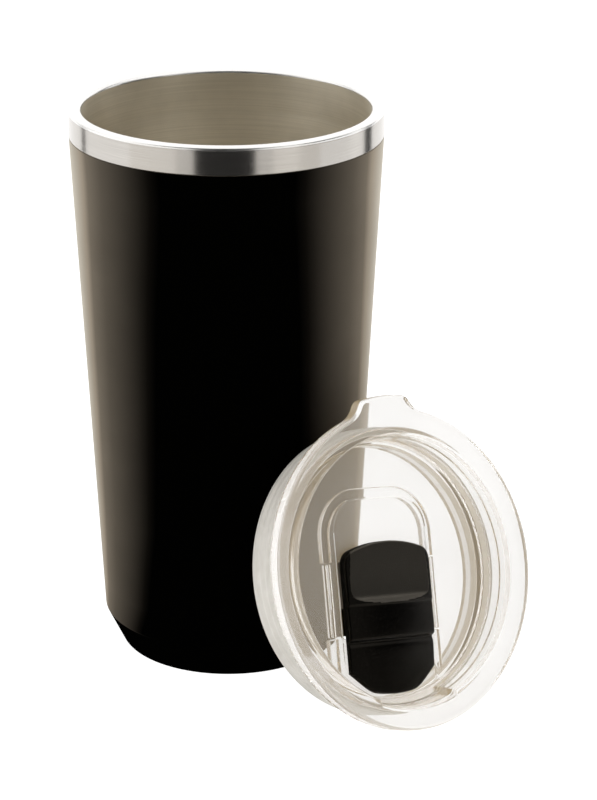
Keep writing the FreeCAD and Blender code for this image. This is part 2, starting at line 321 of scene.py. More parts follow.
class Nodes(Tree):
    """Node material round one Principled shader."""

    def __init__(self, name):
        self.material = bpy.data.materials.new(name)
        self.material.use_nodes = True
        super().__init__(self.material.node_tree)
        out = self.add("ShaderNodeOutputMaterial")
        self.shader = self.add("ShaderNodeBsdfPrincipled")
        self.link(self.shader, "BSDF", out, "Surface")

    def coords(self, scale):
        coord = self.add("ShaderNodeTexCoord")
        mapping = self.add("ShaderNodeMapping")
        self.set(mapping, Scale=scale)
        self.link(coord, "Object", mapping, "Vector")
        return mapping

    def noise(self, scale, size=(1, 1, 1), detail=3.0, rough=0.5):
        node = self.add("ShaderNodeTexNoise")
        self.set(node, Scale=scale, Detail=detail, Roughness=rough)
        self.link(self.coords(size), "Vector", node, "Vector")
        return node

    def ramp(self, source, socket, low, high, at=(0.0, 1.0)):
        node = self.add("ShaderNodeValToRGB")
        node.color_ramp.elements[0].position = at[0]
        node.color_ramp.elements[1].position = at[1]
        node.color_ramp.elements[0].color = (*low, 1)
        node.color_ramp.elements[1].color = (*high, 1)
        self.link(source, socket, node, "Fac")
        return node

    def remap(self, source, socket, low, high):
        node = self.add("ShaderNodeMapRange")
        self.set(node, To_Min=low, To_Max=high)
        self.link(source, socket, node, "Value")
        return node

    def bump(self, source, socket, strength, distance):
        node = self.add("ShaderNodeBump")
        self.set(node, Strength=strength, Distance=distance)
        self.link(source, socket, node, "Height")
        if self.shader.inputs["Normal"].links:
            before = self.shader.inputs["Normal"].links[0].from_node
            self.link(before, "Normal", node, "Normal")
        self.link(node, "Normal", self.shader, "Normal")
        return node

    def radial_tangent(self):
        """Brushing that runs round the Z axis."""
        node = self.add("ShaderNodeTangent", direction_type="RADIAL", axis="Z")
        self.link(node, "Tangent", self.shader, "Tangent")

    def colour(self, source, socket, low, high, at=(0.3, 0.7)):
        """Base colour that runs between two tones."""
        self.link(self.ramp(source, socket, low, high, at), "Color", self.shader, "Base Color")

    def roughness(self, source, socket, low, high):
        self.link(self.remap(source, socket, low, high), "Result", self.shader, "Roughness")

    def multiply(self, a, a_socket, b, b_socket):
        node = self.add("ShaderNodeMix", data_type="RGBA", blend_type="MULTIPLY")
        node.inputs["Factor"].default_value = 1.0
        self.link(a, a_socket, node, "A")
        self.link(b, b_socket, node, "B")
        return node


def brushed_steel(name, low, high, roughness, spread):
    """Steel brushed round its axis: fine rings across a slow change of tone."""
    m = Nodes(name)
    m.set(Metallic=1.0, Anisotropic=spread, Anisotropic_Rotation=ACROSS_BRUSHING)
    lines = m.noise(1.0, (35, 35, 5200), detail=4.0, rough=0.6)
    m.colour(lines, "Fac", low, high, (0.32, 0.70))
    m.roughness(lines, "Fac", roughness - 0.07, roughness + 0.09)
    m.bump(lines, "Fac", 0.10, 0.00004)
    m.radial_tangent()
    return m.material


def liner_steel():
    """Electropolished inside: satin, warm grey, faint turning rings and cloudy tone."""
    m = Nodes("liner_satin_steel")
    m.set(Metallic=1.0, Anisotropic=0.6, Anisotropic_Rotation=ACROSS_BRUSHING)
    lines = m.noise(1.0, (22, 22, 2600), detail=3.0, rough=0.55)
    grain = m.noise(1500.0, detail=3.0, rough=0.65)
    cloud = m.noise(46.0, detail=4.0, rough=0.6)
    rings = m.ramp(lines, "Fac", (0.77, 0.705, 0.57), (0.87, 0.80, 0.66), (0.3, 0.7))
    patches = m.ramp(cloud, "Fac", (0.86, 0.86, 0.86), (1, 1, 1), (0.3, 0.7))
    m.link(m.multiply(rings, "Color", patches, "Color"), "Result", m.shader, "Base Color")
    m.roughness(cloud, "Fac", 0.44, 0.60)
    m.bump(lines, "Fac", 0.10, 0.00004)
    m.bump(grain, "Fac", 0.25, 0.00006)
    m.radial_tangent()
    return m.material


COAT_DARK = (0.0004, 0.0004, 0.0003)
COAT_PAINTED_SHEEN_WARMTH = (1.0, 0.85, 0.66)
COAT_PAINTED_SHEEN_RIM = (0.62, 0.58, 0.50)
# painted sheen: how pale the base colour is painted, by how far the surface turns away from the view
COAT_PAINTED_SHEEN_START = 0.153
COAT_PAINTED_SHEEN_STEPS = (
    (0.188, 0.0038), (0.217, 0.0106), (0.278, 0.029), (0.353, 0.053), (0.453, 0.086),
    (0.493, 0.108), (0.593, 0.158), (0.653, 0.285),
)
COAT_PAINTED_SHEEN_END = 0.953
# how far the painted sheen draws in towards the edges, by height in mm
COAT_PAINTED_SHEEN_FADE = ((10.0, 0.247), (19.5, 0.183), (45.0, 0.112), (76.0, 0.077), (108.0, 0.047), (146.0, 0.0))
# normals' Z on the foot's cone and on the taper; between them the painted sheen fades out, painting the
# downward-facing cone as shade
FOOT_NORMAL_Z = -0.34
TAPER_NORMAL_Z = -0.10


def coat_painted_sheen(m, coord):
    """Painted sheen: base colour painted pale at grazing angles, narrower towards the foot."""
    facing = m.add("ShaderNodeLayerWeight")
    m.set(facing, Blend=0.5)
    place = m.add("ShaderNodeSeparateXYZ")
    m.link(coord, "Object", place, "Vector")
    share = m.add("ShaderNodeMapRange")
    m.set(share, From_Max=BAND_LOW_Z * MM)
    m.link(place, "Z", share, "Value")
    painted_sheen_fade = m.ramp(share, "Result", (COAT_PAINTED_SHEEN_FADE[0][1],) * 3, (0, 0, 0), (COAT_PAINTED_SHEEN_FADE[0][0] / BAND_LOW_Z, 1.0))
    for z, value in COAT_PAINTED_SHEEN_FADE[1:]:
        step = painted_sheen_fade.color_ramp.elements.new(z / BAND_LOW_Z)
        step.color = (value, value, value, 1)
    painted_sheen_at = m.add("ShaderNodeMath", operation="SUBTRACT")
    m.link(facing, "Facing", painted_sheen_at, 0)
    m.link(painted_sheen_fade, "Color", painted_sheen_at, 1)
    # painted sheen: the base colour runs from the coat's black to a pale rim as the surface turns away from
    # the view
    painted_sheen_ramp = m.ramp(painted_sheen_at, "Value", COAT_DARK, COAT_PAINTED_SHEEN_RIM, (COAT_PAINTED_SHEEN_START, COAT_PAINTED_SHEEN_END))
    for position, value in COAT_PAINTED_SHEEN_STEPS:
        step = painted_sheen_ramp.color_ramp.elements.new(position)
        step.color = (*[value * k for k in COAT_PAINTED_SHEEN_WARMTH], 1)
    return painted_sheen_ramp


def painted_foot_shade_mask(m, coord):
    """Painted shade: 0 on the foot's cone, which looks down at the floor, and 1 above it."""
    split = m.add("ShaderNodeSeparateXYZ")
    m.link(coord, "Normal", split, "Vector")
    upright = m.add("ShaderNodeMapRange")
    m.set(upright, From_Min=FOOT_NORMAL_Z, From_Max=TAPER_NORMAL_Z)
    m.link(split, "Z", upright, "Value")
    return upright


def powder_coat():
    """Fine matt powder coat: deep black face on, with a painted sheen in the base colour at grazing angles,
    kept off the downward-facing foot.
    """
    m = Nodes("black_powder_coat")
    coord = m.add("ShaderNodeTexCoord")
    shade = m.add("ShaderNodeMix", data_type="RGBA")
    shade.inputs["A"].default_value = (*COAT_DARK, 1)
    # painted shade: the foot's cone keeps the plain black, everything above it gets the painted sheen
    m.link(painted_foot_shade_mask(m, coord), "Result", shade, "Factor")
    m.link(coat_painted_sheen(m, coord), "Color", shade, "B")
    patches = m.ramp(m.noise(60.0), "Fac", (0.90, 0.90, 0.90), (1.0, 1.0, 1.0), (0.3, 0.7))
    m.link(m.multiply(shade, "Result", patches, "Color"), "Result", m.shader, "Base Color")
    m.set(Specular_IOR_Level=0.0)
    grain = m.noise(2600.0, detail=2.0, rough=0.6)
    m.roughness(grain, "Fac", 0.48, 0.70)
    m.bump(grain, "Fac", 0.35, 0.00008)
    return m.material


def base_steel():
    """Underside: plain spun steel, fine concentric turning marks."""
    m = Nodes("base_spun_steel")
    m.set(Metallic=1.0, Anisotropic=0.5, Anisotropic_Rotation=ACROSS_BRUSHING)
    coord = m.add("ShaderNodeTexCoord")
    wave = m.add("ShaderNodeTexWave", wave_type="RINGS", rings_direction="Z", wave_profile="SIN")
    m.set(wave, Scale=520.0, Distortion=2.2, Detail=3.0, Detail_Scale=1.5)
    m.link(coord, "Object", wave, "Vector")
    m.colour(wave, "Fac", (0.36, 0.33, 0.28), (0.48, 0.45, 0.40), (0.0, 1.0))
    m.roughness(wave, "Fac", 0.30, 0.44)
    m.bump(wave, "Fac", 0.15, 0.00005)
    m.radial_tangent()
    return m.material


def seal_solder():
    """Bead that closes the vacuum: dull solder, dimpled."""
    m = Nodes("seal_bead_solder")
    m.set(Metallic=1.0)
    lumps = m.noise(900.0)
    m.colour(lumps, "Fac", (0.20, 0.19, 0.17), (0.42, 0.40, 0.37))
    m.roughness(lumps, "Fac", 0.35, 0.60)
    m.bump(lumps, "Fac", 0.4, 0.0002)
    return m.material


def getter_alloy():
    """Pressed and sintered pellet: dark, gritty."""
    m = Nodes("getter_sintered_alloy")
    m.set(Metallic=1.0)
    grit = m.noise(3000.0, detail=4.0, rough=0.7)
    m.colour(grit, "Fac", (0.10, 0.10, 0.11), (0.30, 0.29, 0.28))
    m.roughness(grit, "Fac", 0.55, 0.85)
    m.bump(grit, "Fac", 0.6, 0.0001)
    return m.material


def clear_plastic():
    """Moulded clear plastic: slight haze with a painted warm glow from emission, faint flow marks, hairline
    scuffs.
    """
    m = Nodes("clear_moulded_plastic")
    m.set(Transmission_Weight=0.85, IOR=1.42, Specular_IOR_Level=0.5)
    # painted glow: a faint warm emission paints warm light into the plastic
    m.set(Emission_Color=(1.0, 0.62, 0.10, 1), Emission_Strength=0.045)
    flow = m.noise(34.0, detail=2.0)
    scuff = m.noise(1.0, (900, 140, 900), detail=3.0, rough=0.7)
    m.colour(flow, "Fac", (0.775, 0.79, 0.812), (0.815, 0.83, 0.852))
    m.roughness(scuff, "Fac", 0.02, 0.075)
    m.bump(flow, "Fac", 0.12, 0.0006)
    return m.material


def painted_highlight_edge():
    """The channel's side edges painted pale: a painted highlight along them, with streaky noise."""
    m = Nodes("clear_edge_painted_highlight")
    m.set(Transmission_Weight=0.15, IOR=1.49)
    highlight_streaks = m.noise(500.0)
    m.colour(highlight_streaks, "Fac", (0.80, 0.79, 0.76), (0.95, 0.94, 0.92))
    m.roughness(highlight_streaks, "Fac", 0.3, 0.5)
    m.bump(highlight_streaks, "Fac", 0.2, 0.0001)
    return m.material


def clear_silicone(name, painted_glow):
    """Milky, matt, faintly cloudy seal ring; the last argument is an emission strength that paints light
    onto the ring.
    """
    m = Nodes(name)
    m.set(Transmission_Weight=0.15, IOR=1.41)
    m.set(Emission_Color=(1.0, 0.955, 0.88, 1), Emission_Strength=painted_glow)
    cloud = m.noise(300.0)
    m.colour(cloud, "Fac", (0.59, 0.569, 0.523), (0.66, 0.638, 0.592))
    m.roughness(cloud, "Fac", 0.26, 0.42)
    m.bump(cloud, "Fac", 0.15, 0.0001)
    return m.material


def black_plastic(name, black, roughness, shine):
    """Black moulding with a fine spark-eroded grain and a few pale specks."""
    m = Nodes(name)
    warmth = (1.0, 0.95, 0.82)
    m.set(Specular_IOR_Level=shine, Specular_Tint=(1.0, 0.88, 0.70, 1))
    speck = m.add("ShaderNodeTexVoronoi", feature="F1")
    m.set(speck, Scale=1500.0)
    m.link(m.coords((1, 1, 1)), "Vector", speck, "Vector")
    pale = tuple(black * 3 + 0.02 * k for k in warmth)
    dark = tuple(black * k for k in warmth)
    m.colour(speck, "Distance", pale, dark, (0.05, 0.16))
    grain = m.noise(2400.0, detail=3.0, rough=0.65)
    m.roughness(grain, "Fac", roughness - 0.1, roughness + 0.1)
    m.bump(grain, "Fac", 0.5, 0.00012)
    return m.material


BAND_STEEL = brushed_steel("brushed_band_steel", (0.48, 0.456, 0.425), (0.56, 0.534, 0.50), 0.20, 0.80)
LIP_STEEL = brushed_steel("turned_lip_steel", (0.76, 0.75, 0.73), (0.86, 0.85, 0.83), 0.26, 0.45)
LINER_STEEL = liner_steel()
COAT_BLACK = powder_coat()
BASE_STEEL = base_steel()
BEAD = seal_solder()
GETTER = getter_alloy()
CLEAR = clear_plastic()
SILICONE = clear_silicone("translucent_silicone", 0.0)
# painted glow: the ring's back gets emission to light it where it sits in shade behind the plastic
SILICONE_BACK_PAINTED_GLOW = clear_silicone("translucent_silicone_back_painted_glow", 0.45)
BLACK = black_plastic("black_satin_moulding", 0.0006, 0.24, 0.12)
PAD_BLACK = black_plastic("black_matt_thumb_pad", 0.0055, 0.34, 0.72)
SIDE_BLACK = black_plastic("black_rough_sides", 0.0010, 0.60, 0.04)
# painted highlight for the channel's straight side edges
PAINTED_EDGE_HIGHLIGHT = painted_highlight_edge()


# ---- the cup -------------------------------------------------------------------
FOOT_SLOPE = (TAPER_LOW_R - FOOT_CONE_R) / (TAPER_LOW_Z - FOOT_CONE_Z)
FOOT_ANGLE = math.degrees(math.atan(FOOT_SLOPE))


def cone_steel_r(z):
    """Radius of the steel under the coat, on the foot's cone."""
    over_coat = FOOT_CONE_R + (z - FOOT_CONE_Z) * FOOT_SLOPE
    return over_coat - COAT / math.cos(math.radians(FOOT_ANGLE))


FOOT_ROUND_X = cone_steel_r(0) - FOOT_ROUND / math.tan(math.radians(45 + FOOT_ANGLE / 2))


def make_liner():
    """Inner steel cup and its flat lip, which has a turned finish of its own."""
    low_z = LINER_FLOOR_Z + LINER_CORNER
    c = LINER_FOOT_R - LINER_CORNER
    floor_r = 12.0
    profile = [(0, LINER_FLOOR_Z), (floor_r, LINER_FLOOR_Z)]
    profile += arc(c, low_z, LINER_CORNER, -90, 0, 10)
    profile += rounded([
        (LINER_FOOT_R, low_z),
        (MOUTH_R, COLLAR_LOW_Z, 3.0),
        (MOUTH_R, LIP_TOP_Z, LIP_ROUND_IN),
        (BAND_R, LIP_TOP_Z, LIP_ROUND_OUT),
        (BAND_R, LIP_LOW_Z, 0.06),
        (MOUTH_R + LINER_WALL, LIP_LOW_Z),
        (MOUTH_R + LINER_WALL, COLLAR_LOW_Z, 3.0),
        (LINER_FOOT_R + LINER_WALL, low_z),
    ], closed=False)[1:]
    profile += arc(c, low_z, LINER_CORNER + LINER_WALL, 0, -90, 10)[1:]
    profile += [(floor_r, LINER_FLOOR_Z - LINER_WALL), (0, LINER_FLOOR_Z - LINER_WALL)]
    piece = new_piece(
        "steel_liner", lathe(supported(profile, closed=False)), "tumbler",
        LINER_STEEL, ["inner_liner"], sharp=50,
    )
    piece.data.materials.append(LIP_STEEL)
    for face in piece.data.polygons:
        x, y, z = face.center / MM
        if z > LIP_TOP_Z - LIP_ROUND_IN and math.hypot(x, y) > MOUTH_R:
            face.material_index = 1
    return piece


def make_shell():
    """Outer steel wall under the coat, bare at the band."""
    w = SHELL_WALL
    low_r = TAPER_LOW_R - COAT
    top_r = BAND_R - COAT
    joint_r = cone_steel_r(JOINT_Z)
    profile = rounded([
        (joint_r - BASE_WALL, JOINT_Z),
        (joint_r, JOINT_Z),
        (low_r, TAPER_LOW_Z),
        (top_r, TAPER_TOP_Z),
        (BAND_R, BAND_LOW_Z, 0.08),
        (BAND_R, LIP_LOW_Z, 0.06),
        (BAND_R - w, LIP_LOW_Z),
        (BAND_R - w, BAND_LOW_Z + 0.5),
        (low_r - w, TAPER_LOW_Z + 0.3),
    ])
    return new_piece(
        "steel_shell_band", lathe(supported(profile), closed=True), "tumbler",
        BAND_STEEL, ["outer_shell"], sharp=50,
    )


def make_coat():
    """Coat over the shell's taper and the base's side, down into the foot's round."""
    stop = -45
    inner = arc(FOOT_ROUND_X, FOOT_ROUND, FOOT_ROUND, -FOOT_ANGLE, stop, 4)
    outer = arc(FOOT_ROUND_X, FOOT_ROUND, FOOT_ROUND + COAT, stop, -FOOT_ANGLE, 4)
    profile = rounded([
        (TAPER_LOW_R, TAPER_LOW_Z, 0.5),
        (BAND_R, TAPER_TOP_Z, 0.12),
        (BAND_R - COAT, TAPER_TOP_Z),
        (TAPER_LOW_R - COAT, TAPER_LOW_Z),
    ] + inner + outer)
    return new_piece(
        "black_powder_coat", lathe(supported(profile, gap=0.2), closed=True), "tumbler",
        COAT_BLACK, ["powder_coat"], sharp=50,
    )


def make_base():
    """Spun bottom cap: side, foot ring, recess, and the dimple with the sealing hole."""
    w = BASE_WALL
    turn_z = 1.3
    profile = rounded([
        (SEAL_HOLE_R, DIMPLE_Z, 0.2),
        (DIMPLE_R, DIMPLE_Z, 0.6),
        (DIMPLE_R + 1.0, RECESS_Z, 0.6),
        (FOOT_INNER_R - 1.2, RECESS_Z, 0.8),
        (FOOT_INNER_R, 0, 0.5),
    ] + arc(FOOT_ROUND_X, FOOT_ROUND, FOOT_ROUND, -90, -FOOT_ANGLE, 6) + [
        (cone_steel_r(JOINT_Z), JOINT_Z),
        (cone_steel_r(JOINT_Z) - w, JOINT_Z),
        (cone_steel_r(turn_z) - w, turn_z, 0.4),
        (cone_steel_r(turn_z) - w - 0.5, w),
        (FOOT_INNER_R + 0.5, w, 0.4),
        (FOOT_INNER_R - 0.7, RECESS_Z + w, 0.4),
        (DIMPLE_R + 1.5, RECESS_Z + w, 0.4),
        (DIMPLE_R + 0.5, DIMPLE_Z + w, 0.4),
        (SEAL_HOLE_R, DIMPLE_Z + w),
    ])
    return new_piece(
        "spun_base_pan", lathe(supported(profile), closed=True), "tumbler",
        BASE_STEEL, ["base_cap"], sharp=50,
    )


def make_seal_bead():
    """A shallow cap of a ball under the dimple, with a plug up into the hole."""
    r, drop = 4.6, 0.85
    ball = (r * r + drop * drop) / (2 * drop)
    centre = DIMPLE_Z - drop + ball
    half = math.degrees(math.asin(r / ball))
    plug_top = DIMPLE_Z + BASE_WALL + 0.4
    profile = arc(0, centre, ball, -90, -90 + half, 12)
    profile[0] = (0, profile[0][1])
    profile += [
        (SEAL_HOLE_R, DIMPLE_Z),
        (SEAL_HOLE_R, plug_top),
        (0, plug_top),
    ]
    return new_piece(
        "vacuum_seal_bead", lathe(profile, 96), "tumbler", BEAD, ["vacuum_seal"], sharp=50,
    )


# ---- the lid -------------------------------------------------------------------
CHUTE_BLEND = 0.9           # degrees, each way, over which the dish's wall turns into the chute's
DISH_FILLET = 0.8
FLANGE_FLAT_R = 41.3        # a ring in the flange's flat top
FLANGE_LOW_ROUND = 0.5
# strips of flat face beside the flange's edges and beside the floor's bevels, so that they shade cleanly
EDGE_MARGIN = 0.12
FLAT_MARGIN = 0.04


def around(r, degrees):
    """Point on a circle, the angle counted from +Y towards +X."""
    a = math.radians(degrees)
    return r * math.sin(a), r * math.cos(a)


def flange_outline():
    """Round flange with its thumb tab: (x, y, nx, ny) round the outline, starting at the tab's middle."""
    corner, root = TAB_CORNER, TAB_ROOT
    corner_r = TAB_R - corner
    root_r = FLANGE_R + root
    tip_end = math.degrees(math.asin((TAB_HALF - corner) / corner_r))
    spread = math.acos((corner_r ** 2 + root_r ** 2 - (corner + root) ** 2) / (2 * corner_r * root_r))
    rim_start = tip_end + math.degrees(spread)
    cx, cy = around(corner_r, tip_end)
    rx, ry = around(root_r, rim_start)
    joint = math.degrees(math.atan2(rx - cx, ry - cy))
    half = []
    # centre, signed radius, first and last angle, number of steps
    for x, y, r, a0, a1, steps in (
        (0, 0, TAB_R, 0, tip_end, 8),
        (cx, cy, corner, tip_end, joint, 10),
        (rx, ry, -root, joint, rim_start, 10),
        (0, 0, FLANGE_R, rim_start, 180, 180),
    ):
        for k in range(steps):
            nx, ny = around(1, a0 + (a1 - a0) * k / steps)
            half.append((x + nx * r, y + ny * r, nx, ny))
    half.append((0, -FLANGE_R, 0, -1))
    half += [(-x, y, -nx, ny) for x, y, nx, ny in reversed(half[1:-1])]
    s, c = around(1, TAB_TURN)
    return [(x * c - y * s, x * s + y * c, nx * c - ny * s, nx * s + ny * c) for x, y, nx, ny in half]


def smooth(t):
    """Ease from 0 to 1."""
    t = min(1.0, max(0.0, t))
    return t * t * (3 - 2 * t)


def channel_outline(d=0.0):
    """The slider's channel, its lower end cut to the dish's circle, grown by d."""
    half, top, corner = CHANNEL_HALF + d, CHANNEL_TOP_Y + d, CHANNEL_CORNER + d
    r = DISH_FLOOR_R - 1.0 + d
    side_steps = 24
    low = -math.sqrt(r * r - half * half)
    foot = math.degrees(math.atan2(-low, half))
    pts = arc(0, 0, r, 180 + foot, 360 - foot, 40)
    for k in range(1, side_steps):
        pts.append((half, low + (top - corner - low) * k / side_steps))
    pts += arc(half - corner, top - corner, corner, 0, 90, 14)
    pts += arc(corner - half, top - corner, corner, 90, 180, 14)
    for k in range(1, side_steps):
        pts.append((-half, top - corner + (low - top + corner) * k / side_steps))
    return pts


def slot_outline(side):
    """Slot for the hooked leg on one side."""
    a, b = sorted((side * SLOT_IN, side * SLOT_OUT))
    return rounded([
        (a, SLOT_LOW_Y, 0.7), (b, SLOT_LOW_Y, 0.7), (b, SLOT_TOP_Y, 0.7), (a, SLOT_TOP_Y, 0.7),
    ], step=15)


def sip_outline():
    """Sip opening, its lower edge on a circle round the lid's middle."""
    end = -math.sqrt(SIP_R ** 2 - SIP_HALF ** 2)
    pts = [(-SIP_HALF, end, 2.0)]
    for x in (-5.4, -1.8, 1.8, 5.4):
        pts.append((x, -math.sqrt(SIP_R ** 2 - x * x)))
    pts += [(SIP_HALF, end, 2.0), (SIP_HALF, SIP_TOP_Y, 2.0), (-SIP_HALF, SIP_TOP_Y, 2.0)]
    return rounded(pts, step=12)


def rib_outlines():
    """The rib under the floor, in three lengths: the upper U and the two lower legs."""
    out_c, in_c = RIB_CORNER, RIB_CORNER - RIB_WIDTH
    half, top, w = RIB_HALF, RIB_TOP_Y, RIB_WIDTH
    u = [(half - w, SLOT_TOP_Y), (half, SLOT_TOP_Y)]
    u += arc(half - out_c, top - out_c, out_c, 0, 90, 16)
    u += arc(out_c - half, top - out_c, out_c, 90, 180, 16)
    u += [(-half, SLOT_TOP_Y), (w - half, SLOT_TOP_Y)]
    u += arc(out_c - half, top - out_c, in_c, 180, 90, 16)
    u += arc(half - out_c, top - out_c, in_c, 90, 0, 16)
    outlines = [u]
    low = -math.sqrt((SKIRT_IN_R - 0.6) ** 2 - half ** 2)
    for side in (1, -1):
        a, b = sorted((side * (half - w), side * half))
        outlines.append([(a, low), (b, low), (b, SLOT_LOW_Y), (a, SLOT_LOW_Y)])
    return outlines


def rail_outlines():
    """Low guide rails under the floor beside the slots, outside the hooks' run."""
    outlines = []
    for side in (1, -1):
        for x0, x1 in RAIL_SPANS:
            a, b = sorted((side * x0, side * x1))
            y0, y1 = SLOT_LOW_Y + RAIL_GAP, SLOT_TOP_Y - RAIL_GAP
            outlines.append([(a, y0), (b, y0), (b, y1), (a, y1)])
    return outlines


def strip(bm, outline, steps):
    """Walls that follow an outline through (offset, z) steps; returns the first and last loop."""
    loops = [loop_at(bm, offset(outline, d) if d else outline, z) for d, z in steps]
    for a, b in zip(loops, loops[1:]):
        bridge(bm, a, b)
    return loops[0], loops[-1]


def convex(d0, z0, d1, z1, n=3):
    """Quarter-round steps from (d0, z0) to (d1, z1): leaves flat, arrives upright."""
    steps = []
    for k in range(n + 1):
        a = math.pi / 2 * k / n
        steps.append((d0 + (d1 - d0) * math.sin(a), z1 + (z0 - z1) * math.cos(a)))
    return steps


def cut_channel(bm, floor_edge):
    """The channel's wall, its straight edges given a painted highlight; returns the loop at its foot."""
    bevel, drop, foot = 0.50, 0.33, 0.24
    edge_z = DISH_FLOOR_Z - drop
    steps = [(bevel + FLAT_MARGIN, DISH_FLOOR_Z), (bevel, DISH_FLOOR_Z)]
    steps += [(bevel - 0.08, DISH_FLOOR_Z - 0.03), (0.06, edge_z + 0.08)]
    steps += [(0.0, edge_z), (0.0, CHANNEL_Z + 0.2)]
    steps += [(-0.06, CHANNEL_Z + 0.06), (-0.2, CHANNEL_Z), (-foot, CHANNEL_Z)]
    first, last = strip(bm, channel_outline(), steps)
    # faces on the straight side edges get the painted highlight material
    for face in bm.faces:
        c = face.calc_center_median() / MM
        on_side = 0.0 < abs(c.x) - CHANNEL_HALF < bevel
        on_straight = SLOT_LOW_Y - 2 < c.y < CHANNEL_TOP_Y - CHANNEL_CORNER
        if on_side and on_straight and edge_z - 0.02 < c.z < DISH_FLOOR_Z:
            face.material_index = 1
    fill(bm, [floor_edge, first])
    return last


def cut_holes(bm, channel_foot):
    """Slots and sip opening through the channel's floor; returns their loops on the underside."""
    r, flat = 0.2, 0.2 + FLAT_MARGIN
    tops, lows = [], []
    for hole in (slot_outline(1), slot_outline(-1), sip_outline()):
        steps = [(flat, CHANNEL_Z)] + convex(r, CHANNEL_Z, 0.0, CHANNEL_Z - r)
        steps += [(0.0, FLOOR_LOW_Z + r), (0.06, FLOOR_LOW_Z + 0.06), (r, FLOOR_LOW_Z), (flat, FLOOR_LOW_Z)]
        top, low = strip(bm, hole, steps)
        tops.append(top)
        lows.append(low)
    fill(bm, [channel_foot] + tops)
    return lows


def raise_ribs(bm):
    """Ribs and rails under the floor; returns their loops on the underside."""
    lows = []
    ribs = [(outline, RIB_LOW_Z) for outline in rib_outlines()]
    rails = [(outline, RAIL_LOW_Z) for outline in rail_outlines()]
    for outline, bottom in ribs + rails:
        steps = [(0.12 + FLAT_MARGIN, FLOOR_LOW_Z), (0.12, FLOOR_LOW_Z)]
        steps += [(0.03, FLOOR_LOW_Z - 0.03), (0.0, FLOOR_LOW_Z - 0.12)]
        steps += [(0.0, bottom + 0.2), (-0.06, bottom + 0.06), (-0.2, bottom), (-0.24, bottom)]
        base, cap = strip(bm, outline, steps)
        lows.append(base)
        fill(bm, [cap])
    return lows


def chute_share(angle):
    """1 within the pouring chute, 0 away from it, by the angle round the lid."""
    off = abs((math.degrees(angle) + 90 + 180) % 360 - 180)
    return smooth((CHUTE_HALF_ANGLE + CHUTE_BLEND - off) / (2 * CHUTE_BLEND))


def lid_ring(bm, outline, r, z, chute_r=None):
    """Ring in the outline's directions, of radius r, or chute_r within the pouring chute."""
    ring = []
    for x, y, _, _ in outline:
        angle = math.atan2(y, x)
        here_r = r
        if chute_r is not None:
            here_r = r + (chute_r - r) * chute_share(angle)
        ring.append(bm.verts.new((here_r * math.cos(angle) * MM, here_r * math.sin(angle) * MM, z * MM)))
    return ring


def edge_ring(bm, outline, inset, z):
    """Ring that follows the flange's edge and its tab."""
    ring = []
    for x, y, nx, ny in outline:
        ring.append(bm.verts.new(((x - nx * inset) * MM, (y - ny * inset) * MM, z * MM)))
    return ring


def dish_rings(bm, outline):
    """From the floor's edge up the fillet and the stepped wall to the mouth's edge."""
    rings = [lid_ring(bm, outline, DISH_FLOOR_R - DISH_FILLET - 0.1, DISH_FLOOR_Z)]
    for a in range(0, 91, 15):
        x, z = polar(DISH_FILLET, -90 + a)
        rings.append(lid_ring(bm, outline, DISH_FLOOR_R - DISH_FILLET + x, DISH_FLOOR_Z + DISH_FILLET + z))
    profile = supported(rounded([
        (DISH_FLOOR_R, DISH_FLOOR_Z + DISH_FILLET),
        (DISH_FLOOR_R + 0.3, DISH_STEP_Z, 0.15),
        (DISH_FLOOR_R + 0.65, DISH_STEP_Z + 0.2, 0.12),
        (DISH_MOUTH_R, FLANGE_TOP - 0.4, 0.3),
        (DISH_MOUTH_R + 0.4, FLANGE_TOP, 0.3),
        (DISH_MOUTH_R + 1.4, FLANGE_TOP),
    ], closed=False, step=15), closed=False, gap=0.12)
    slope = (CHUTE_R - DISH_FLOOR_R) / (FLANGE_TOP - DISH_FLOOR_Z)
    for r, z in profile[1:-1]:
        lip = max(0.0, r - DISH_MOUTH_R) if z > FLANGE_TOP - 0.5 else 0.0
        rings.append(lid_ring(bm, outline, r, z, DISH_FLOOR_R + slope * (z - DISH_FLOOR_Z) + lip))
    return rings


def flange_rings(bm, outline):
    """From the flange's flat top over its rounded edge to its underside."""
    top, low = FLANGE_TOP - FLANGE_ROUND, FLANGE_LOW + FLANGE_LOW_ROUND
    rings = [
        lid_ring(bm, outline, FLANGE_FLAT_R, FLANGE_TOP),
        edge_ring(bm, outline, FLANGE_ROUND + EDGE_MARGIN, FLANGE_TOP),
    ]
    for a in range(90, -1, -10):
        x, z = polar(FLANGE_ROUND, a)
        rings.append(edge_ring(bm, outline, FLANGE_ROUND - x, top + z))
    rings.append(edge_ring(bm, outline, 0.0, top - EDGE_MARGIN))
    rings.append(edge_ring(bm, outline, 0.0, low + EDGE_MARGIN))
    for a in range(0, -91, -18):
        x, z = polar(FLANGE_LOW_ROUND, a)
        rings.append(edge_ring(bm, outline, FLANGE_LOW_ROUND - x, low + z))
    rings.append(edge_ring(bm, outline, FLANGE_LOW_ROUND + EDGE_MARGIN, FLANGE_LOW))
    return rings


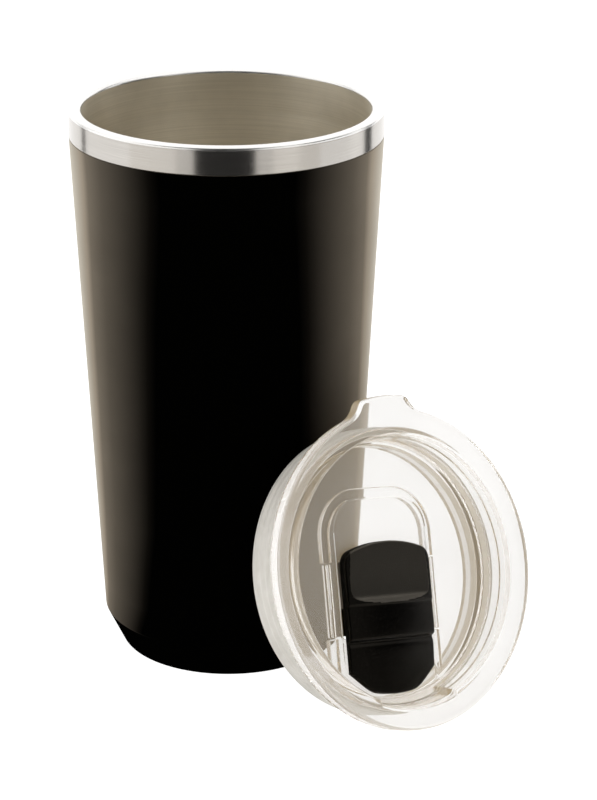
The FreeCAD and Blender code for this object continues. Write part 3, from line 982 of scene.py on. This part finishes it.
def plug_rings(bm, outline):
    """From the flange's underside down the plug and its groove, and up the skirt's inside."""
    profile = supported(rounded([
        (PLUG_R + 1.2, FLANGE_LOW),
        (PLUG_R + 0.2, FLANGE_LOW, 0.35),
        (PLUG_R, GROOVE_TOP_Z, 0.15),
        (GROOVE_R, GROOVE_TOP_Z, 0.15),
        (GROOVE_R, GROOVE_LOW_Z, 0.15),
        (PLUG_R - 0.1, GROOVE_LOW_Z, 0.15),
        (PLUG_R - 0.3, GROOVE_LOW_Z - 0.5, 0.4),
        (GROOVE_R, SKIRT_LOW_Z, 0.5),
        (SKIRT_IN_R, SKIRT_LOW_Z, 0.5),
        (SKIRT_IN_R + 0.55, FLOOR_LOW_Z, 0.6),
        (SKIRT_IN_R - 1.2, FLOOR_LOW_Z),
    ], closed=False, step=18), closed=False, gap=0.1)
    return [lid_ring(bm, outline, r, z) for r, z in profile[1:-1]]


def make_lid_body():
    """One closed moulding: dish, flange and plug as rings, then the floor with what is cut in it."""
    bm = bmesh.new()
    outline = flange_outline()
    rings = dish_rings(bm, outline) + flange_rings(bm, outline) + plug_rings(bm, outline)
    for a, b in zip(rings, rings[1:]):
        bridge(bm, a, b)
    channel_foot = cut_channel(bm, rings[0])
    lows = cut_holes(bm, channel_foot)
    lows += raise_ribs(bm)
    fill(bm, [rings[-1]] + lows)
    lid = new_piece("clear_lid", bm, "lid", CLEAR, ["lid_body"], LID_PLACE, sharp=60)
    # slot 1 is the painted highlight on the channel's edges
    lid.data.materials.append(PAINTED_EDGE_HIGHLIGHT)
    return lid


def make_gasket():
    """Seal ring in the plug's groove, with shallow beads round it; its back has a copy of the material with
    a painted glow.
    """
    low = GROOVE_LOW_Z + 0.1
    top = GROOVE_TOP_Z - 0.1
    r = GASKET_BODY_R
    back = GROOVE_R + GASKET_GAP
    bead_x = GASKET_BEAD_R - GASKET_BEAD_ROUND
    half = math.degrees(math.acos((r - bead_x) / GASKET_BEAD_ROUND))
    profile = [(back, low), (r, low)]
    for z in reversed(GASKET_BEAD_ZS):
        profile += arc(bead_x, z, GASKET_BEAD_ROUND, -half, half, 6)
    profile += [(r, top - 0.5), (r - 0.5, top), (back, top)]
    bm = lathe(supported(profile), 384, closed=True)
    for face in bm.faces:
        c = face.calc_center_median() / MM
        if math.hypot(c.x, c.y) < back + 0.1:
            face.material_index = 1
    ring = new_piece(
        "lid_seal_ring", bm, "lid", SILICONE, ["lid_gasket"], LID_PLACE, sharp=50,
    )
    ring.data.materials.append(SILICONE_BACK_PAINTED_GLOW)
    return ring


# ---- the slider ----------------------------------------------------------------
SCOOP_PROFILE = [
    (8.4, -7.30), (6.0, -7.34), (3.0, -7.42), (0.0, -7.50), (-3.0, -7.54), (-5.0, -7.52), (-6.0, -7.46),
    (-6.8, -7.36), (-7.3, -7.22), (-7.8, -6.96), (-8.2, -6.66), (-8.6, -6.28), (-9.0, -5.88), (-9.4, -5.46),
    (-10.2, -4.6),
]
BACK_PROFILE = [
    (8.4, -5.75), (-7.8, -5.75), (-8.6, -5.72), (-9.0, -5.80), (-9.3, -6.02), (-9.7, -6.10), (-11.0, -6.05),
    (-15.0, -5.98), (-18.3, -6.08), (-18.9, -6.30), (-19.2, -6.75), (-19.45, -7.20), (-19.8, -7.40),
    (-20.3, -7.28), (-21.0, -7.06), (-22.0, -7.02), (-24.0, -7.14), (-30.0, -7.62), (-36.0, -8.15),
]
CROWN_DROP = 2.20           # fall of the back from its middle to its sides
SCOOP_DROP = 0.10
SLIDER_CANT_Y = -28.2       # the end's corners are cut off at a slant
SLIDER_CANT_SLOPE = 0.80
CANT_BLEND = 0.6
CREST_BLEND = 0.06
TOP_EDGE_ROUND = 0.55


def along(profile, y):
    """Height on a profile of (y, z) points, y falling, joined by smooth curves."""
    if y >= profile[0][0]:
        return profile[0][1]
    for k in range(len(profile) - 1):
        (ya, za), (yb, zb) = profile[k], profile[k + 1]
        if y < yb:
            continue
        t = (ya - y) / (ya - yb)
        yp, zp = profile[k - 1] if k else (2 * ya - yb, 2 * za - zb)
        yn, zn = profile[k + 2] if k + 2 < len(profile) else (2 * yb - ya, 2 * zb - za)
        ma = (zb - zp) / (yb - yp) * (yb - ya)
        mb = (zn - za) / (yn - ya) * (yb - ya)
        t2, t3 = t * t, t * t * t
        return za * (2 * t3 - 3 * t2 + 1) + ma * (t3 - 2 * t2 + t) + zb * (3 * t2 - 2 * t3) + mb * (t3 - t2)
    return profile[-1][1]


def slider_surfaces(x, y):
    """Heights of the crowned back and of the thumb scoop cut into it."""
    across = (x / SLIDER_HALF) ** 2
    return along(BACK_PROFILE, y) - CROWN_DROP * across, along(SCOOP_PROFILE, y) - SCOOP_DROP * across


def slider_top(x, y):
    """Height of the slider's upper face: the lower of the two surfaces, the crest between them softened."""
    back, scoop = slider_surfaces(x, y)
    h = max(0.0, 1 - abs(back - scoop) / (2 * CREST_BLEND))
    return min(back, scoop) - h * h * CREST_BLEND / 2


def slider_edge(x, circle_r, circle_y, corner, sign):
    """Edge of the slider at x: a big circle, rounded into the straight sides."""
    x = abs(x)
    cx = SLIDER_HALF - corner
    cy = circle_y + sign * math.sqrt((circle_r - corner) ** 2 - cx ** 2)
    if x > cx * circle_r / (circle_r - corner):
        return cy + sign * math.sqrt(max(0.0, corner ** 2 - (x - cx) ** 2))
    return circle_y + sign * math.sqrt(circle_r ** 2 - x ** 2)


def slider_span(x):
    """Upper and lower end of the slider at x."""
    top = slider_edge(x, SLIDER_BOW_R, SLIDER_TOP_Y - SLIDER_BOW_R, SLIDER_TOP_CORNER, 1)
    low = slider_edge(x, SLIDER_END_R, 0.0, SLIDER_END_CORNER, -1)
    cant = SLIDER_CANT_Y - (SLIDER_HALF - abs(x)) * SLIDER_CANT_SLOPE
    h = max(0.0, 1 - abs(low - cant) / (2 * CANT_BLEND))
    return top, min(SLIDER_CANT_Y + CANT_BLEND, max(low, cant) + h * h * CANT_BLEND / 2)


def depth_inside(outline, x, y):
    """Distance from a point inside an outline to the outline."""
    best = 1e9
    for i, (bx, by) in enumerate(outline):
        ax, ay = outline[i - 1]
        dx, dy = bx - ax, by - ay
        t = max(0.0, min(1.0, ((x - ax) * dx + (y - ay) * dy) / (dx * dx + dy * dy)))
        best = min(best, math.hypot(x - ax - dx * t, y - ay - dy * t))
    return best


def slider_grid(bm, columns, rows):
    """Points on the upper face, closer together near its edges, where it is rounded over."""
    crowding, row_crowding = 0.45, 0.02
    xs = []
    for i in range(columns + 1):
        u = 2 * i / columns - 1
        xs.append(SLIDER_HALF * ((1 - crowding) * u + crowding * math.sin(math.pi / 2 * u)))
    spans = [slider_span(x) for x in xs]
    plan = [(x, low) for x, (top, low) in zip(xs, spans)]
    plan += [(x, top) for x, (top, low) in reversed(list(zip(xs, spans)))]

    grid = {}
    for i, (x, (top, low)) in enumerate(zip(xs, spans)):
        for j in range(rows + 1):
            t = j / rows
            t -= row_crowding * math.sin(2 * math.pi * t)
            y = top + (low - top) * t
            z = slider_top(x, y)
            d = 0.0
            if 0 < i < columns and 0 < j < rows:
                d = min(SLIDER_HALF - abs(x), y - low, top - y)
                if d < TOP_EDGE_ROUND * 3:
                    d = depth_inside(plan, x, y)
            if d < TOP_EDGE_ROUND:
                z -= TOP_EDGE_ROUND - math.sqrt(TOP_EDGE_ROUND ** 2 - (TOP_EDGE_ROUND - d) ** 2)
            grid[i, j] = bm.verts.new((x * MM, y * MM, z * MM))
    return grid


def make_slider_body():
    """Upper face fitted to the plan, upright sides, and a base drawn in a little."""
    columns, rows = 110, 170
    edge = 0.2
    base_scale, base_y = 0.988, -13.0
    bm = bmesh.new()
    grid = slider_grid(bm, columns, rows)
    for i in range(columns):
        for j in range(rows):
            face = bm.faces.new((grid[i, j], grid[i, j + 1], grid[i + 1, j + 1], grid[i + 1, j]))
            c = face.calc_center_median() / MM
            back, scoop = slider_surfaces(c.x, c.y)
            face.material_index = 1 if scoop < back else 0
    rim = [grid[i, 0] for i in range(columns)] + [grid[columns, j] for j in range(rows)]
    rim += [grid[i, rows] for i in range(columns, 0, -1)] + [grid[0, j] for j in range(rows, 0, -1)]
    upright, low, base = [], [], []
    for v in rim:
        x, y, z = v.co / MM
        upright.append(bm.verts.new((x * MM, y * MM, (z - edge) * MM)))
        low.append(bm.verts.new((x * MM, y * MM, (SLIDER_LOW_Z + edge) * MM)))
        x, y = x * base_scale, base_y + (y - base_y) * base_scale
        base.append(bm.verts.new((x * MM, y * MM, SLIDER_LOW_Z * MM)))
    top_faces = len(bm.faces)
    bridge(bm, rim, upright)
    bridge(bm, upright, low)
    bm.faces.ensure_lookup_table()
    for face in bm.faces[top_faces:]:
        face.material_index = 2
    bridge(bm, low, base)
    fill(bm, [base])
    piece = new_piece(
        "sliding_closure", bm, "slider", BLACK, ["slider"], LID_PLACE, sharp=55,
    )
    # slot 1 is the thumb scoop, slot 2 the upright sides
    piece.data.materials.append(PAD_BLACK)
    piece.data.materials.append(SIDE_BLACK)
    return piece


def make_hooks():
    """The two hooked legs that hold the slider through the floor's slots."""
    bm = bmesh.new()
    for side in (-1, 1):
        section = rounded([
            (LEG_IN, SLIDER_LOW_Z + 0.4),
            (LEG_IN, HOOK_LOW_Z, 0.4),
            (HOOK_OUT - 0.5, HOOK_LOW_Z, 0.3),
            (HOOK_OUT, HOOK_TOP_Z - 0.4, 0.3),
            (HOOK_OUT, HOOK_TOP_Z, 0.15),
            (LEG_OUT, HOOK_TOP_Z, 0.3),
            (LEG_OUT, SLIDER_LOW_Z + 0.4),
        ], step=20)
        loops = []
        r = 0.2
        for y, inset in ((LEG_LOW_Y, r), (LEG_LOW_Y + r, 0.0), (LEG_TOP_Y - r, 0.0), (LEG_TOP_Y, r)):
            shape = offset(section, -inset) if inset else section
            loops.append([bm.verts.new((side * x * MM, y * MM, z * MM)) for x, z in shape])
        for a, b in zip(loops, loops[1:]):
            bridge(bm, a, b)
        fill(bm, [loops[0]])
        fill(bm, [loops[-1]])
    return new_piece("closure_hooks", bm, "slider", BLACK, (), LID_PLACE, sharp=40)


make_liner()
make_shell()
make_coat()
make_base()
make_seal_bead()
make_lid_body()
make_gasket()
make_slider_body()
make_hooks()

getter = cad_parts["getter"]
getter.data.materials.clear()
getter.data.materials.append(GETTER)


# ---- camera --------------------------------------------------------------------
CAMERA_AT = (-0.47979, -0.60318, 0.36702)
CAMERA_HEADING = 40.04      # from +Y towards +X
CAMERA_PITCH = 20.815       # below the horizon
CAMERA_ROLL = 0.164
CAMERA_LENS = 125.452       # mm, on a 36 mm long side


def make_camera():
    """Camera looking along its heading and down, then turned a little about its own line of sight."""
    heading = math.radians(CAMERA_HEADING)
    pitch = math.radians(CAMERA_PITCH)
    roll = math.radians(CAMERA_ROLL)
    level = Vector((math.cos(heading), -math.sin(heading), 0))
    ahead = Vector((math.sin(heading), math.cos(heading), 0)) * math.cos(pitch)
    ahead.z = -math.sin(pitch)
    above = level.cross(ahead)
    right = level * math.cos(roll) + above * math.sin(roll)
    up = above * math.cos(roll) - level * math.sin(roll)
    pose = Matrix((right, up, -ahead)).transposed().to_4x4()
    pose.translation = Vector(CAMERA_AT)
    data = bpy.data.cameras.new("camera")
    data.sensor_width = 36.0
    data.sensor_fit = "AUTO"
    data.lens = CAMERA_LENS
    data.clip_start = 0.01
    data.clip_end = 50.0
    camera = bpy.data.objects.new("camera", data)
    camera.matrix_world = pose
    bpy.context.scene.collection.objects.link(camera)
    bpy.context.scene.camera = camera


# ---- floor, light --------------------------------------------------------------
BACK_LIGHT = 1.6
FRONT_LIGHT = 0.04
DIM_HEADING = 44.0          # middle of the room's dim side, the viewer's: from -Y towards -X
DIM_START, DIM_FULL = 0.35, 0.85    # cosine of the angle from that middle
CARD_NEAR, CARD_FAR = 0.05, 0.60    # a card's wedge on the floor starts and ends this far from the axis
CARD_LIFT = 0.0004
LOW_CARD = 0.02


def make_floor():
    """Level white floor with a faint shade under whatever stands on it."""
    half = 6.0
    corners = [(-half, -half, 0), (half, -half, 0), (half, half, 0), (-half, half, 0)]
    mesh = bpy.data.meshes.new("floor")
    mesh.from_pydata(corners, [], [(0, 1, 2, 3)])
    floor = bpy.data.objects.new("floor", mesh)
    bpy.context.scene.collection.objects.link(floor)
    m = Nodes("pale_floor")
    m.set(Base_Color=(0.30, 0.30, 0.30, 1), Roughness=0.9, Specular_IOR_Level=0.0)
    m.set(Emission_Color=(1, 1, 1, 1), Emission_Strength=1.0)
    mesh.materials.append(m.material)
    return floor


def make_world():
    """White room; mirrors see it bright round the back and sides and dim on the viewer's side."""
    world = bpy.data.worlds.new("studio")
    bpy.context.scene.world = world
    world.use_nodes = True
    t = Tree(world.node_tree)
    coord = t.add("ShaderNodeTexCoord")
    dot = t.add("ShaderNodeVectorMath", operation="DOT_PRODUCT")
    a = math.radians(DIM_HEADING)
    dot.inputs[1].default_value = (-math.sin(a), -math.cos(a), 0.0)
    t.link(coord, "Generated", dot, 0)
    ramp = t.add("ShaderNodeMapRange", interpolation_type="SMOOTHSTEP")
    t.set(ramp, From_Min=DIM_START, From_Max=DIM_FULL, To_Min=BACK_LIGHT, To_Max=FRONT_LIGHT)
    t.link(dot, "Value", ramp, "Value")
    studio = t.add("ShaderNodeBackground")
    t.link(ramp, "Result", studio, "Strength")
    plain = t.add("ShaderNodeBackground")
    t.set(plain, Color=(1, 1, 1, 1), Strength=1.0)
    path = t.add("ShaderNodeLightPath")
    not_mirrored = t.add("ShaderNodeMath", operation="SUBTRACT")
    not_mirrored.inputs[0].default_value = 1.0
    t.link(path, "Is Glossy Ray", not_mirrored, 1)
    mix = t.add("ShaderNodeMixShader")
    t.link(not_mirrored, "Value", mix, "Fac")
    t.link(studio, "Background", mix, 1)
    t.link(plain, "Background", mix, 2)
    t.link(mix, "Shader", t.add("ShaderNodeOutputWorld"), "Surface")


def make_card(name, angle, half_angle, height, grey=0.002, near=CARD_NEAR, far=CARD_FAR):
    """Wedge along the floor and a card standing at its end, on radii from the cup's axis, for mirrors only.

    The angle is counted from the viewer's side towards -X.
    """
    mesh = bpy.data.meshes.new(name)
    corners = []
    for distance, z in ((near, CARD_LIFT), (far, CARD_LIFT), (far, height)):
        for end in (-1, 1):
            a = math.radians(CAMERA_HEADING + 180 + angle + end * half_angle)
            corners.append((math.sin(a) * distance, math.cos(a) * distance, z))
    mesh.from_pydata(corners, [], [(0, 1, 3, 2), (2, 3, 5, 4)])
    card = bpy.data.objects.new(name, mesh)
    bpy.context.scene.collection.objects.link(card)
    m = Nodes(name)
    m.set(Base_Color=(0.01, 0.01, 0.01, 1), Roughness=1.0, Specular_IOR_Level=0.0)
    m.set(Emission_Color=(1.0, 0.97, 0.92, 1), Emission_Strength=grey)
    mesh.materials.append(m.material)
    card.visible_camera = False
    card.visible_diffuse = False
    card.visible_transmission = False
    card.visible_shadow = False
    return card


make_camera()
make_floor()
make_world()
make_card("dark_card_front", 0.0, 21.0, 1.0)
for side_name, turn in (("left", 1), ("right", -1)):
    make_card("soft_card_" + side_name, turn * 27.5, 6.5, LOW_CARD, 0.66)
    make_card("pale_card_" + side_name, turn * 52.0, 18.0, LOW_CARD, 1.05)
make_card("dark_card_left", 121.0, 3.0, 0.6, 0.15)
make_card("dark_card_right", -122.0, 5.5, 0.9)
make_card("dark_card_lid", -76.0, 23.0, 0.8, near=1.18, far=1.20)

scene = bpy.context.scene
scene.view_settings.view_transform = "Standard"
scene.view_settings.look = "None"

bpy.context.view_layer.update()
